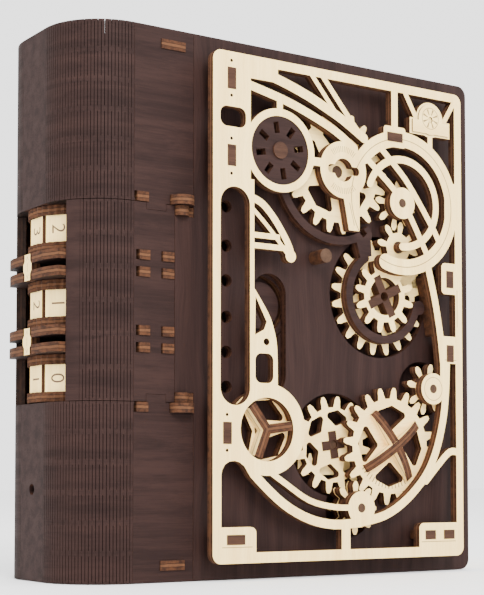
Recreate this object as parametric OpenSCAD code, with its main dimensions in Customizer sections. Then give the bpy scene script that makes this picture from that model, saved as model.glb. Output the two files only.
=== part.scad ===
// Book-shaped puzzle safe with code rings in the spine, laser-cut from 3 mm plywood.
// Units are millimetres. +Z is up, -Y is the front cover, -X is the spine.

/* [Size] */
// height of the book
book_h = 170; // [120:1:240]
// width from the hinge seam to the fore edge
cover_w = 113; // [90:1:160]
// thickness of the closed book between the cover faces
book_t = 56; // [50:1:80]
// plywood thickness
ply = 3; // [3:0.1:3.2]

/* [Code rings] */
// faces on each code ring
ring_faces = 10; // [6:1:12]
// outer radius of the ring flanges
flange_r = 16.3; // [15:0.1:17]
// grip scallops round each flange
scallops = 40; // [20:2:60]

/* [Gears] */
// tooth module of the visible gears
gear_m = 1.8; // [1.8:0.1:1.8]
// tooth thinning on each flank
thin = 0.25; // [0.15:0.05:0.35]

/* [Part] */
// which sub-part to draw

/* [Hidden] */
$fn = 48;
seam_x = -35;                 // x of the hinge seam
face_y = -24.2;               // y of the front face of the cover
spine_r = 20;                 // outside radius of the spine corners
spine_w = 41;                 // seam to the flat back of the spine
top_z = 115.4;                // underside of the upper hinge plate
low_z = 54.4;                 // top of the lower hinge plate
ring_x = -24.8;               // code ring axis, from the seam
ring_d = 28;                  // code ring axis, behind the cover face
ring_z = [100.8, 77.8, 54.8];
ring_step = 14.4;             // height of one code ring
support_z = [97.6, 92.4, 74.6, 69.4];
tile_a = 15.1;                // centre to the face of a letter tile
axis_a = -4.2;                // hinge axis, from the seam
axis_d = 0.2;                 // hinge axis, behind the cover face
pin_r = 2;                    // gear pin radius
bore_r = 2.05;                // running bore for a gear pin
dark = "#594745";
light = "#ecdcc1";
burnt = "#7a4a30";

// gear centres on the cover, tooth counts as written beside each
key_c = [53.4, 132.2];
upper_c = [78.3, 123.9];
lower_c = [79.1, 109.4];
comp_c = [73.2, 92.4];
drive_c = [75.3, 42.2];
right_c = [91.45, 61.8];
twin_c = [60.4, 21.8];
win_c = [54, 42.45];
wheel_c = [23.1, 46.7];
dial_c = [28.2, 135.5];
recess_c = [26.6, 87];
small_m = 0.9;                // module of the bolt pinions
small_r = small_m * 4;        // their pitch radius
low_t = 2.8;                  // thickness of the gears sunk in the cover plate
up_line = comp_c[1] + small_r;
down_line = win_c[1] - small_r;

// stands a flat outline (across, up) in front of the cover face, from s to s + t forward
module face(s, t = ply) {
  translate([seam_x, face_y - s, 0])
    rotate([90, 0, 0])
      linear_extrude(t) children();
}

// the same for several outlines that join into one piece
module face_each(s, t = ply) {
  for (i = [0:$children - 1])
    face(s, t) children(i);
}

// lays a flat outline (across, behind the cover face) at height z
module flat(z, t = ply) {
  translate([seam_x, face_y, z])
    linear_extrude(t) children();
}

// stands a blade outline (along, forward) on the cover at c, turned by ang
module blade(c, ang, t = ply) {
  translate([seam_x + c[0], face_y, c[1]])
    rotate([0, -ang, 0])
      linear_extrude(t, center = true)
        mirror([0, 1]) children();
}

module box2(x0, y0, x1, y1) {
  translate([x0, y0]) square([x1 - x0, y1 - y0]);
}

module round_box(x0, y0, x1, y1, r) {
  box2(x0 + r, y0, x1 - r, y1);
  box2(x0, y0 + r, x1, y1 - r);
  for (x = [x0 + r, x1 - r])
    for (y = [y0 + r, y1 - r])
      translate([x, y]) circle(r);
}

module disc(c, r) {
  translate(c) circle(r);
}

module ring2(c, r0, r1) {
  difference() {
    disc(c, r1);
    disc(c, r0);
  }
}

// part of a ring from angle a0 to a1, with round ends
module arc_band(c, r0, r1, a0, a1) {
  n = ceil((a1 - a0) / 6);
  rm = (r0 + r1) / 2;
  translate(c) {
    polygon(concat(
      [for (i = [0:n]) r1 * [cos(a0 + (a1 - a0) * i / n), sin(a0 + (a1 - a0) * i / n)]],
      [for (i = [n:-1:0]) r0 * [cos(a0 + (a1 - a0) * i / n), sin(a0 + (a1 - a0) * i / n)]]));
    for (a = [a0, a1])
      translate(rm * [cos(a), sin(a)]) circle((r1 - r0) / 2 - 0.03);
  }
}

// Catmull-Rom point on the piece between p1 and p2
function cat(p0, p1, p2, p3, t) =
  0.5 * (2 * p1 + (p2 - p0) * t + (2 * p0 - 5 * p1 + 4 * p2 - p3) * t * t
    + (3 * p1 - p0 - 3 * p2 + p3) * t * t * t);
function smooth(p, n = 4) = concat(
  [for (i = [0:len(p) - 2]) for (k = [0:n - 1])
    cat(p[max(i - 1, 0)], p[i], p[i + 1], p[min(i + 2, len(p) - 1)], k / n)],
  [p[len(p) - 1]]);
function unit(v) = v / norm(v);
function side(p, i) =
  let (d = unit(p[min(i + 1, len(p) - 1)] - p[max(i - 1, 0)])) [-d[1], d[0]];

// a band of width w along a smooth line through the points
module strip(pts, w) {
  p = smooth(pts);
  n = len(p) - 1;
  polygon(concat(
    [for (i = [0:n]) p[i] + side(p, i) * w / 2],
    [for (i = [n:-1:0]) p[i] - side(p, i) * w / 2]));
  for (e = [p[0], p[n]])
    translate(e) circle(w / 2);
}

// cycloid tooth flanks: rolling circle q on the pitch circle r
function epi(r, q, t) =
  let (a = t * q / r)
  [(r + q) * cos(a) - q * cos((r + q) / q * a), (r + q) * sin(a) - q * sin((r + q) / q * a)];
function hypo(r, q, t) =
  let (a = t * q / r)
  [(r - q) * cos(a) + q * cos((r - q) / q * a), (r - q) * sin(a) - q * sin((r - q) / q * a)];
function flank(z, m, b) =
  let (r = m * z / 2, q = 2 * m, h = 90 / z - b / r * 180 / PI,
    ra = r + 0.9 * m, rd = r - 1.15 * m,
    ta = acos(((r + q) * (r + q) + q * q - ra * ra) / (2 * (r + q) * q)),
    td = acos(min(1, max(-1, (rd * rd - (r - q) * (r - q) - q * q) / (2 * (r - q) * q + 1e-9)))))
  concat(
    [for (k = [2, 1]) let (p = hypo(r, q, td * k / 2)) [norm(p), h + atan2(p[1], p[0])]],
    [for (k = [0:3]) let (p = epi(r, q, ta * k / 3)) [norm(p), h - atan2(p[1], p[0])]]);

module gear2d(z, phase, m = gear_m, b = thin) {
  f = flank(z, m, b);
  n = len(f);
  polygon([for (k = [0:z - 1]) for (i = [0:2 * n - 1])
    let (j = i < n ? i : 2 * n - 1 - i,
      a = phase + k * 360 / z + (i < n ? -1 : 1) * f[j][1])
    f[j][0] * [cos(a), sin(a)]]);
}

// phase of a gear of zb teeth meshing at angle line with a gear of za teeth at phase pa
function mesh(pa, za, line, zb) = line + 180 + 180 / zb - (pa - line) * za / zb;
function line(a, b) = atan2(b[1] - a[1], b[0] - a[0]);

drive_p = 13;
right_p = mesh(drive_p, 20, line(drive_c, right_c), 8);
twin_p = mesh(drive_p, 20, line(drive_c, twin_c), 8);
win_p = mesh(twin_p, 8, line(twin_c, win_c), 16);
comp_p = 19;
lower_p = mesh(comp_p, 12, line(comp_c, lower_c), 8);
upper_p = mesh(lower_p, 8, line(lower_c, upper_c), 8);
key_p = mesh(upper_p, 8, line(upper_c, key_c), 21);

// rack teeth for the small pinions, tips towards +y, gap at x = 0
module rack2d(k0, k1) {
  p = PI * small_m;
  q = 2 * small_m;
  hw = p / 4 - 0.12;
  ta = acos(1 - 0.9 * small_m / q);
  td = acos(1 - 1.1 * small_m / q);
  for (k = [k0:k1])
    translate([(k + 0.5) * p, 0])
      polygon(concat(
        [for (i = [2, 1]) let (t = td * i / 2)
          [-hw - q * (t * PI / 180 - sin(t)), -q * (1 - cos(t))]],
        [for (i = [0:3]) let (t = ta * i / 3)
          [-hw + q * (t * PI / 180 - sin(t)), q * (1 - cos(t))]],
        [for (i = [3:-1:0]) let (t = ta * i / 3)
          [hw - q * (t * PI / 180 - sin(t)), q * (1 - cos(t))]],
        [for (i = [1, 2]) let (t = td * i / 2)
          [hw + q * (t * PI / 180 - sin(t)), -q * (1 - cos(t))]],
        [[hw + 0.5, -1.4], [-hw - 0.5, -1.4]]));
}

// outline of the spine seen from above, grown outward by g
module spine2d(g = 0, right = 0) {
  box2(-spine_w + spine_r, -g, right, book_t + g);
  box2(-spine_w - g, spine_r, right, book_t - spine_r);
  for (d = [spine_r, book_t - spine_r])
    translate([-spine_w + spine_r, d]) circle(spine_r + g, $fn = 96);
}

// thin cuts that let the plywood bend round the corner, in turn from outside and inside
module kerfs(i0) {
  for (i = [i0:14])
    for (m = [0, 1])
      translate([-spine_w + spine_r, m == 0 ? spine_r : book_t - spine_r])
        rotate(m == 0 ? 180 + 3 + i * 6 : 180 - 3 - i * 6) {
          translate([spine_r - 2.3, -0.15]) square([3, 0.3]);
          if (i < 14)
            rotate(m == 0 ? 3 : -3)
              translate([spine_r - 3.4, -0.15]) square([2.7, 0.3]);
        }
}

module skin2d(i0 = 0) {
  difference() {
    spine2d();
    spine2d(-ply, 1);
    kerfs(i0);
  }
}

module tenon_slots(z, x0, x1, t = ply) {
  for (d = [-1, book_t - ply - 1])
    translate([seam_x + x0, face_y + d, z]) cube([x1 - x0, ply + 2, t]);
}

module spine_wrap_top() {
  color(dark) difference() {
    union() {
      flat(top_z, book_h - top_z) skin2d();
      face(-ply) box2(-16.6, 113.2, -9.8, top_z + 1);
    }
    tenon_slots(163.45, -11.65, -3.05, ply + 0.1);
    tenon_slots(top_z - 0.1, -20.9, -15.95, ply + 0.15);
    tenon_slots(top_z - 0.1, -8.45, 0.1, ply + 0.15);
    translate([seam_x + axis_a, face_y + axis_d, top_z - 0.1]) cylinder(h = ply + 0.15, r = 4.15);
  }
}

module spine_wrap_bottom() {
  color(dark) difference() {
    union() {
      flat(0, low_z) skin2d();
      face(-ply) box2(-16.6, low_z - 1, -9.8, 56.8);
    }
    tenon_slots(3.45, -11.65, -3.05, ply + 0.1);
    tenon_slots(low_z - ply - 0.05, -20.9, -15.95, ply + 0.15);
    tenon_slots(low_z - ply - 0.05, -8.45, 0.1, ply + 0.15);
    translate([seam_x + axis_a, face_y + axis_d, low_z - ply - 0.05])
      cylinder(h = ply + 0.15, r = 4.15);
    translate([seam_x - 45, face_y + 28, 28]) rotate([0, 90, 0]) cylinder(h = 10, r = 1.7);
  }
}

// the middle of the spine skin on one side of the ring window
module mid_panel(front) {
  d0 = front ? -1 : book_t - 10.4;
  color(dark) difference() {
    flat(low_z + 0.2, top_z - low_z - 0.4) intersection() {
      skin2d(6);
      box2(-50, d0, front ? -6.75 : 0, d0 + 11.4);
    }
    for (z = support_z) {
      tenon_slots(z - 0.05, -20.2, -15.45, ply + 0.1);
      tenon_slots(z - 0.05, -11.4, -6.7, ply + 0.1);
    }
    if (front)
      for (z = [[low_z, 56.9], [113.1, top_z]])
        translate([seam_x - 16.7, face_y - 1, z[0]]) cube([7, ply + 2, z[1] - z[0]]);
  }
}
module spine_panel_front() mid_panel(true);
module spine_panel_back() mid_panel(false);

module cap2d() {
  spine2d(-ply - 0.05, -0.05);
  for (d = [-0.3, book_t - ply - 1])
    box2(-11.6, d, -3.1, d + 4.3);
}
module spine_cap_top() color(burnt) flat(163.5) cap2d();
module spine_cap_bottom() color(burnt) flat(3.5) cap2d();

// hinge plate: fills the spine, carries the lug for the cover pin and the ring spindle
module hinge2d() {
  difference() {
    union() {
      spine2d(-ply - 0.05, -0.05);
      for (d = [-0.3, book_t - ply - 1])
        box2(-20, d, -16, d + 4.3);
      box2(-8.2, axis_d, -0.3, 8);
      box2(-8.2, book_t - ply - 1, -0.3, book_t);
      disc([axis_a, axis_d], 4);
    }
    disc([axis_a, axis_d], 1.02);
    disc([ring_x, ring_d], 2.52);
  }
}
module hinge_plate_top() color(burnt) flat(top_z) hinge2d();
module hinge_plate_bottom() color(burnt) flat(low_z - ply) hinge2d();

// ring support: fills the spine and stands proud inside the ring window
module support2d() {
  difference() {
    union() {
      spine2d(-ply - 0.05, -0.05);
      intersection() {
        spine2d(2);
        box2(-50, 10.7, -20, book_t - 10.7);
      }
      for (x = [[-19.2, -15.5], [-11, -7]])
        for (d = [-0.4, book_t - ply - 1])
          box2(x[0], d, x[1], d + 4.4);
    }
    disc([ring_x, ring_d], 2.52);
    box2(-6.9, -2, 1, 4.6);
    box2(-8.1, 26.4, 1, 29.6);
    box2(-44, ring_d - 2.95, -39.95, ring_d + 2.95);
  }
}
module ring_supports() {
  color(dark)
    for (z = support_z)
      flat(z) support2d();
}

module code_pointers() {
  color(light)
    for (z = [support_z[0] + ply, support_z[2] + ply])
      translate([seam_x - spine_w - 2, face_y + ring_d, z - 4.1])
        rotate([90, 0, 90])
          linear_extrude(ply)
            polygon([[-2, -4.1], [2, -4.1], [2, -2], [2.9, -1], [2.9, 1], [2, 2],
              [2, 4.1], [-2, 4.1], [-2, 2], [-2.9, 1], [-2.9, -1], [-2, -2]]);
}

module ring_spindle() {
  color(burnt)
    translate([seam_x + ring_x, face_y + ring_d, low_z - ply])
      cylinder(h = top_z - low_z + 2 * ply, r = 2.5);
}

// comb that falls into the ring gates, drawn in its released place
module code_comb() {
  color(burnt)
    translate([seam_x, face_y + 26.5, 0])
      rotate([90, 0, 0])
        translate([0, 0, -3])
          linear_extrude(ply) {
            box2(-5.2, low_z, -0.4, top_z);
            for (z = ring_z)
              box2(-8, z + 5.2, -5.1, z + 9.2);
          }
}

module inner_wall() {
  color(dark) difference() {
    translate([seam_x, face_y + 9.5, 8]) cube([ply, book_t - ply - 9.5, 154]);
    for (z = [62, 85, 108])
      translate([seam_x - 1, face_y + 28, z]) rotate([0, 90, 0]) cylinder(h = 5, r = 5);
  }
}

module page_wall_top() {
  color(light) difference() {
    flat(162) box2(ply, 3.2, 107.6, book_t - ply);
    flat(161) box2(50, book_t - 12, 60, book_t - 9);
  }
}
module page_wall_bottom() {
  color(light) difference() {
    flat(5) box2(ply, 3.2, 107.6, book_t - ply);
    flat(4, 5) box2(50, book_t - 12, 60, book_t - 9);
  }
}
module page_wall_fore_edge() {
  color(light) difference() {
    flat(5, 160) box2(107.6, 3.2, 110.6, book_t - ply);
    for (z = [[down_line - 6.4, down_line - 0.9], [up_line + 0.9, up_line + 6.2]])
      flat(z[0], z[1] - z[0]) box2(107, 2, 111, 6.2);
  }
}

module hinge_pins() {
  color("#b9a06a")
    for (z = [112.2, low_z - ply])
      translate([seam_x + axis_a, face_y + axis_d, z])
        cylinder(h = 2 * ply + 0.2, r = 1);
}

module back_cover() {
  color(dark) difference() {
    face(-book_t) cover_outline(0);
    face(-book_t - 0.01, 3.02)
      for (z = [40, 118])
        box2(0.4, z, 2.6, z + 12);
  }
  color(dark)
    face(-book_t)
      for (z = [40, 118])
        box2(0.4, z, 2.6, z + 12);
}

module cover_outline(x0) {
  box2(x0, 0, cover_w - 3.5, book_h);
  box2(cover_w - 4, 3.5, cover_w, book_h - 3.5);
  for (z = [3.5, book_h - 3.5])
    disc([cover_w - 3.5, z], 3.5);
}

// one code ring: n = 0 is the top one
module flange2d() {
  difference() {
    polygon([for (i = [0:2 * scallops - 1])
      (i % 2 == 0 ? flange_r : flange_r - 0.55) * [cos(i * 180 / scallops), sin(i * 180 / scallops)]]);
    circle(2.55);
  }
}
module ring_place(n, dz) {
  translate([seam_x + ring_x, face_y + ring_d, ring_z[n] + dz]) children();
}
module drum(n) {
  color(burnt) ring_place(n, ply)
    linear_extrude(ring_step - 2 * ply) difference() {
      rotate(180 / ring_faces) circle((tile_a - ply) / cos(180 / ring_faces) - 0.02, $fn = ring_faces);
      circle(2.55);
      translate([10.4, 0]) square([6, 3.4], center = true);
    }
}
module flanges(n) {
  color(burnt)
    for (z = [0, ring_step - ply])
      ring_place(n, z) linear_extrude(ply) flange2d();
}
module tiles(n) {
  w = 2 * tile_a * tan(180 / ring_faces) - 1.6;
  color(light)
    for (k = [0:ring_faces - 1])
      ring_place(n, ply) rotate(k * 360 / ring_faces)
        linear_extrude(ring_step - 2 * ply)
          polygon([[tile_a - ply, -w / 2 + 0.35], [tile_a, -w / 2], [tile_a, w / 2],
            [tile_a - ply, w / 2 - 0.35]]);
}
module ring_drum_1() drum(0);
module ring_drum_2() drum(1);
module ring_drum_3() drum(2);
module ring_flanges_1() flanges(0);
module ring_flanges_2() flanges(1);
module ring_flanges_3() flanges(2);
module ring_tiles_1() tiles(0);
module ring_tiles_2() tiles(1);
module ring_tiles_3() tiles(2);

// slots shared by the cover plate and the frame: x0, y0, x1, y1 of each standoff end
posts = [
  [8.3, 152.6, 11.3, 159.3], [8.3, 128.4, 11.3, 135], [6.7, 42, 9.7, 48.7], [8.1, 11, 14.7, 14],
  [87.6, 11, 92, 14], [95.8, 11, 100.4, 14], [97.6, 96.8, 100.6, 102.5], [97.6, 71.3, 100.6, 77],
  [71.9, 144.4, 78.4, 147.4]
];

module cover_plate() {
  color(dark) face(-ply) difference() {
    union() {
      cover_outline(0.15);
      box2(-6.6, 57.7, 1, 112.1);
    }
    disc(comp_c, 20.5);
    disc(win_c, 16.9);
    disc(twin_c, 9.7);
    disc(right_c, 9.6);
    disc(key_c, pin_r + 0.02);
    disc(upper_c, pin_r + 0.02);
    disc(drive_c, pin_r + 0.02);
    disc(dial_c, 2.75);
    disc(wheel_c, 2.55);
    round_box(22, 58, 35, 97, 6.4);
    for (z = [60, 71, 82, 93.5, 104.5, 117])
      disc([12.2, z], 2);
    for (p = posts)
      box2(p[0] - 0.03, p[1] - 0.03, p[2] + 0.03, p[3] + 0.03);
    disc([46.5, 103.5], 2.32);
  }
}

module bay_frame() {
  color(burnt) face(-2 * ply) difference() {
    union() {
      difference() {
        box2(3, 8.5, 106.8, 161.5);
        box2(11, 16.5, 98.8, 153.5);
      }
      box2(66, down_line - 10.4, 100, down_line + 2.4);
      box2(85, up_line - 2.6, 100, up_line + 10);
      box2(34, 60, 42, 155);
      box2(60, 120, 66, 155);
    }
    box2(30, down_line - 6.3, 108, down_line - 0.95);
    box2(30, down_line - 6.3, 66.5, down_line + 1.1);
    box2(50, up_line + 0.95, 108, up_line + 6.1);
    box2(50, up_line - 1.1, 85.5, up_line + 6.1);
    box2(2, 112, 8.4, 115.4);
    box2(2, 54.4, 8.4, 57.8);
    for (c = [drive_c, right_c, twin_c, upper_c])
      disc(c, 2.7);
    disc(recess_c, 12);
  }
}

module cover_back_plate() {
  color(dark) face(-3 * ply) difference() {
    box2(3, 8.5, 106.8, 161.5);
    for (c = [drive_c, right_c, twin_c])
      disc(c, pin_r + 0.02);
    for (c = [comp_c, win_c])
      disc(c, 1.52);
  }
}

module hinge_knuckles() {
  color(burnt)
    for (z = [112.2, low_z + 0.2])
      flat(z) difference() {
        union() {
          disc([axis_a, axis_d], 2.35);
          box2(-6.5, axis_d, 0.1, ply);
          box2(-4, ply, 8.2, 2 * ply);
        }
        disc([axis_a, axis_d], 1.05);
      }
}

module frame_holes() {
  round_box(5.7, 54, 16.6, 122, 5.4);
  round_box(5.6, 140.7, 15.1, 147, 2.4);
  disc(dial_c, 11);
  disc(key_c, 3.8);
  round_box(47.1, 130.8, 59.9, 133.6, 1.2);
  for (c = [upper_c, right_c, twin_c])
    disc(c, 1.52);
  disc(wheel_c, 10);
  round_box(18.6, 61.2, 25.4, 70.5, 2.2);
  disc([22.8, 74.2], 1.1);
  polygon([[18.7, 88.3], [22.9, 80.5], [21.9, 78], [18.5, 76.2]]);
  for (c = [[9.7, 161.5], [9.7, 150.5], [9.7, 137], [9.7, 126], [8.1, 51], [8.1, 40]])
    disc(c, 0.5);
  polygon([[6, 16.4], [17.2, 16.4], [17.2, 31.2], [16.2, 32.6], [14.4, 35.2], [12.8, 36.3], [11, 36.8],
    [9, 36.6], [7.3, 35.6], [6.3, 34], [6, 32.5]]);
  disc([67.2, 138.4], 0.9, $fn = 4);
  disc([90.4, 111.3], 0.9, $fn = 4);
  for (p = posts)
    box2(p[0] - 0.03, p[1] - 0.03, p[2] + 0.03, p[3] + 0.03);
}
module overlay_frame() {
  color(light) difference() {
    face_each(3.8) {
      difference() {
        round_box(2.9, 5.2, 104.6, 164.3, 3);
        box2(16.9, 8.5, 101.6, 161.4);
      }
      box2(16.5, 50, 18.2, 125);
      box2(16.8, 157, 27.3, 162);
      // left dial ring, its post and the two long curved bands above it
      disc(dial_c, 13.4);
      box2(26.9, 146, 29.2, 153);
      strip([[16.5, 154.8], [29.5, 152], [39.5, 148.9], [50, 144.7], [58, 140]], 2.8);
      strip([[17, 160.4], [28, 158], [38, 155], [45, 152.3], [53, 148.8], [62, 143.8]], 3.2);
      strip([[40, 162.5], [50.5, 150.5]], 1.6);
      strip([[44.6, 162.5], [56.5, 149], [61, 144.5]], 1.9);
      // key dial with its link and tongue
      disc(key_c, 9.4);
      box2(40.5, 132.3, 45.5, 135);
      polygon([[53.2, 124.5], [55.6, 112.6], [60, 112.6], [60, 125.5]]);
      // big double ring round the upper pin
      arc_band(upper_c, 19, 24.3, -110, 140);
      arc_band(upper_c, 13.5, 16, -91, 160);
      disc(upper_c, 5.3);
      strip([[68, 142.4], [75, 136.4], [81.5, 130], [92.4, 115.5], [95.8, 109]], 2.2);
      strip([[62.5, 137.6], [66, 135], [78.3, 124.5], [88.6, 108]], 2.2);
      box2(73.7, 149, 76.4, 162);
      round_box(70.4, 142.5, 79.7, 149.5, 1);
      // title pad with its dome and struts
      box2(81.7, 148.3, 99.4, 153.8);
      disc([90.4, 153.8], 6);
      strip([[79.5, 162], [84.4, 154]], 1.8);
      strip([[101.6, 161.5], [96.9, 154]], 1.8);
      box2(89.6, 143, 91.6, 149);
      box2(97, 118, 102, 133);
      // right-hand strut and pads
      strip([[89.2, 104], [92.4, 92], [94.4, 82], [95.4, 75], [96, 69], [95.6, 62]], 2.7);
      round_box(95.4, 94.5, 103, 105.2, 1.5);
      box2(95, 70.7, 103, 80);
      disc(right_c, 5.3);
      strip([[60, 17.1], [70.4, 19.4], [79.4, 24.4], [87.5, 32], [92.4, 40.5], [95.6, 51], [97, 61],
        [97.5, 71]], 2.9);
      strip([[88, 30.6], [93, 35.6], [98.5, 40.4], [102.5, 40.4]], 2.4);
      // great lower arc, split in two on the left
      strip([[15, 36], [19.6, 31.2], [29.4, 23.3], [39.4, 18.5], [49.4, 16.6], [60, 17.1]], 3);
      strip([[24, 33.5], [30, 29.8], [39.4, 24.4], [49.4, 22.2], [58, 22]], 1.9);
      disc(twin_c, 5.5);
      box2(52.2, 8, 55.7, 17);
      round_box(4, 6, 18.9, 16.3, 1.8);
      round_box(84.9, 6, 103, 16.5, 1.8);
      box2(5, 31.5, 20, 36);
      // wheel ring and the lobe above it
      disc(wheel_c, 14.5);
      polygon(concat([[16.5, 50], [16.5, 92]],
        smooth([[18.1, 91], [23.4, 83.5], [25.6, 78.5], [26.9, 72], [27.1, 57]])));
      // horn on the left column
      strip([[17.4, 119.3], [21.5, 117.6], [26.2, 113], [30.8, 106.5], [32.6, 102.4]], 2.4);
      strip([[17.4, 116], [22.4, 111.6], [26.6, 107.4], [31, 102.5]], 1.4);
      disc([32.2, 102], 2);
      box2(18, 106.7, 28, 108.5);
      box2(18, 103.4, 31.5, 105.2);
    }
    face(3, 5) frame_holes();
  }
}

module standoffs() {
  color(burnt) {
    for (p = posts) {
      face(-ply, 10) box2(p[0], p[1], p[2], p[3]);
      wide = p[2] - p[0] > p[3] - p[1] ? 1 : 0;
      face(0, 3.8) box2(p[0] - wide, p[1] - 1 + wide, p[2] + wide, p[3] + 1 - wide);
    }
    face(0, 3.8) strip([[90.6, 100], [92.9, 91], [94.8, 81.2]], 2);
  }
}

module gear_bracket() {
  color(dark) difference() {
    face_each(0) {
      arc_band(key_c, 21.3, 24, 182, 296);
      arc_band(comp_c, 13.1, 15.9, 122, 350);
      polygon([[61, 112], [63.4, 104.6], [68, 105.6], [67.6, 113]]);
      disc([64.6, 112.6], 3.6);
      disc([88.6, 89.6], 2.4);
    }
    face(-1, 6) translate([64.6, 113]) rotate(45) square(2.2, center = true);
    face(-1, 6) disc(lower_c, 9.3);
    face(-1, 6) disc(key_c, 21.2);
  }
}

module gear_pins() {
  color("#b9a06a") {
    for (c = [right_c, twin_c])
      face(-9, 12.7) disc(c, pin_r);
    face(-ply, 6.7) disc(upper_c, pin_r);
    for (c = [upper_c, right_c, twin_c])
      face(3.6, 3.1) disc(c, 1.5);
    face(-ply, 6.3) disc(key_c, pin_r);
    face(0.3, 3.5) disc(lower_c, pin_r);
    face(-9, 12.3) disc(drive_c, pin_r);
    for (c = [comp_c, win_c])
      face(-9, 8.5) disc(c, 1.5);
    face(-ply, 9.5) disc([46.5, 103.5], 2.3);
  }
}

module window_ring() {
  color(dark) face(-2 * ply) {
    ring2(recess_c, 9.5, 11.5);
    disc(recess_c, 7.5);
  }
}

// small plain nameplate with a raised star
module title_plate() {
  color(light) {
    face(6.8, 0.5) difference() {
      union() {
        box2(82.6, 148.9, 98.5, 153.2);
        disc([90.4, 153.8], 5.2);
      }
      disc([90.4, 153.8], 1);
    }
  }
}

module holes(n, r, size, start) {
  for (k = [0:n - 1])
    rotate(start + k * 360 / n)
      translate([r, 0]) children();
}
// a straight bar of half width r from p to q
module bar(p, q, r) {
  d = q - p;
  translate(p) rotate(atan2(d[1], d[0])) translate([0, -r]) square([norm(d), 2 * r]);
}
// a window between spokes: four corners joined, rounded all round
module spoke_window(r0, r1, half) {
  rc = 1.2;
  pts = [[r0 + rc, 0], [r1 * cos(half), r1 * sin(half)], [r1 + 0.8, 0],
    [r1 * cos(half), -r1 * sin(half)]];
  polygon(pts);
  for (k = [0:3]) {
    translate(pts[k]) circle(rc);
    bar(pts[k], pts[(k + 1) % 4], rc - 0.04);
  }
}

module gear_plate(c, z, phase, s, bore, t = ply) {
  face(s, t) difference() {
    translate(c) gear2d(z, phase);
    disc(c, bore);
    translate(c) children();
  }
}

module key_gear() {
  color(light) gear_plate(key_c, 21, key_p, 0.4, bore_r)
    for (k = [0:4]) rotate(18 + k * 72) spoke_window(6.2, 12.8, 21);
}
module upper_idler() color(light) gear_plate(upper_c, 8, upper_p, 0.4, bore_r);
module lower_idler() color(light) gear_plate(lower_c, 8, lower_p, 0.4, bore_r);

cross_a = 27;
module compound_small_gear() {
  color(light) gear_plate(comp_c, 12, comp_p, 0.4, 6.3)
    for (a = [0, 90]) rotate(cross_a + a) square([14.7, 3.04], center = true);
}
module compound_large_gear() {
  color(light) gear_plate(comp_c, 20, 10.5, -2.9, 1.55, low_t) {
    for (a = [0, 90]) rotate(cross_a + a) square([14.7, 3.04], center = true);
    for (k = [0:3]) rotate(cross_a + 45 + k * 90) spoke_window(8, 12.6, 20);
  }
}
// two slotted strips locked together; drawn as one cross
module compound_cross_axle() {
  color(burnt) face(-2.9, 6.2) difference() {
    translate(comp_c)
      for (a = [0, 90]) rotate(cross_a + a) square([14.6, 3], center = true);
    disc(comp_c, 1.55);
  }
}
module upper_bolt_pinion() {
  color(burnt) face(-5.9, 3) difference() {
    translate(comp_c) gear2d(8, 90, small_m, 0.12);
    disc(comp_c, 1.55);
  }
}
module upper_bolt() {
  color(burnt) face_each(-5.9, 2.7) {
    translate([comp_c[0], up_line]) mirror([0, 1]) rack2d(-4, 1);
    box2(comp_c[0] - 12, up_line + 1.05, 104.4, up_line + 6);
  }
}

module drive_gear() {
  color(light) gear_plate(drive_c, 20, drive_p, 0.4, bore_r)
    for (k = [0:3]) rotate(-3 + k * 90) spoke_window(5.4, 11.6, 24);
}
module knob_profile() {
  intersection() {
    translate([0, 7.3 - 31]) circle(31);
    box2(-13.3, 3.4, 13.3, 7.3);
  }
}
module knob_blade_long() {
  color(burnt) blade(drive_c, 124.5) difference() {
    knob_profile();
    box2(-1.52, 5.3, 1.52, 8);
  }
}
module knob_blade_short() {
  color(burnt) blade(drive_c, 34.5) difference() {
    knob_profile();
    box2(-1.52, 3, 1.52, 5.3);
  }
}
module right_pinion() color(light) gear_plate(right_c, 8, right_p, 0.4, bore_r);
module twin_pinion() {
  color(light) {
    gear_plate(twin_c, 8, twin_p, 0.4, bore_r);
    gear_plate(twin_c, 8, twin_p, -2.9, bore_r, low_t);
    face(-0.2, 0.7) ring2(twin_c, bore_r, 4.6);
  }
}
module window_gear() {
  color(light) gear_plate(win_c, 16, win_p, -2.9, 1.55, low_t) {
    for (a = [0, 90]) rotate(8 + a) square([9, 3.04], center = true);
    for (k = [0:5]) rotate(20 + k * 60) spoke_window(6.4, 9.6, 17);
  }
}
module window_gear_cross() {
  color(burnt) face(-2.9, 3.1) difference() {
    translate(win_c)
      for (a = [0, 90]) rotate(8 + a) square([8.9, 3], center = true);
    disc(win_c, 1.55);
  }
}
module lower_bolt_pinion() {
  color(burnt) face(-5.9, 3) difference() {
    translate(win_c) gear2d(8, -90, small_m, 0.12);
    disc(win_c, 1.55);
  }
}
module lower_bolt() {
  color(burnt) face_each(-5.9, 2.7) {
    translate([win_c[0], down_line]) rack2d(-4, 1);
    box2(win_c[0] - 12, down_line - 6.2, 104.4, down_line - 1.05);
  }
}

module hand_wheel() {
  color(light) face(0.3) difference() {
    disc(wheel_c, 12.3);
    disc(wheel_c, 2.52);
    translate(wheel_c)
      for (k = [0:2]) rotate(68 + k * 120) spoke_window(3.4, 8.2, 38);
  }
}
module hand_wheel_grips() {
  color(burnt) {
    face(3.3, 3.7) translate(wheel_c)
      for (k = [0:2]) rotate(8 + k * 120) translate([0, -1.5]) square([9.4, 3]);
    face(-ply, 6.5) disc(wheel_c, 2.5);
  }
}
module dial_disc() {
  color(dark) face(3.8, 2.8) difference() {
    disc(dial_c, 10.85);
    disc(dial_c, 2.72);
    translate(dial_c)
      for (k = [0:7]) rotate(k * 45 + 10) translate([5.6, -1]) square([3.6, 2]);
  }
}
module dial_axle() color(burnt) face(-ply, 10.1) disc(dial_c, 2.7);

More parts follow.
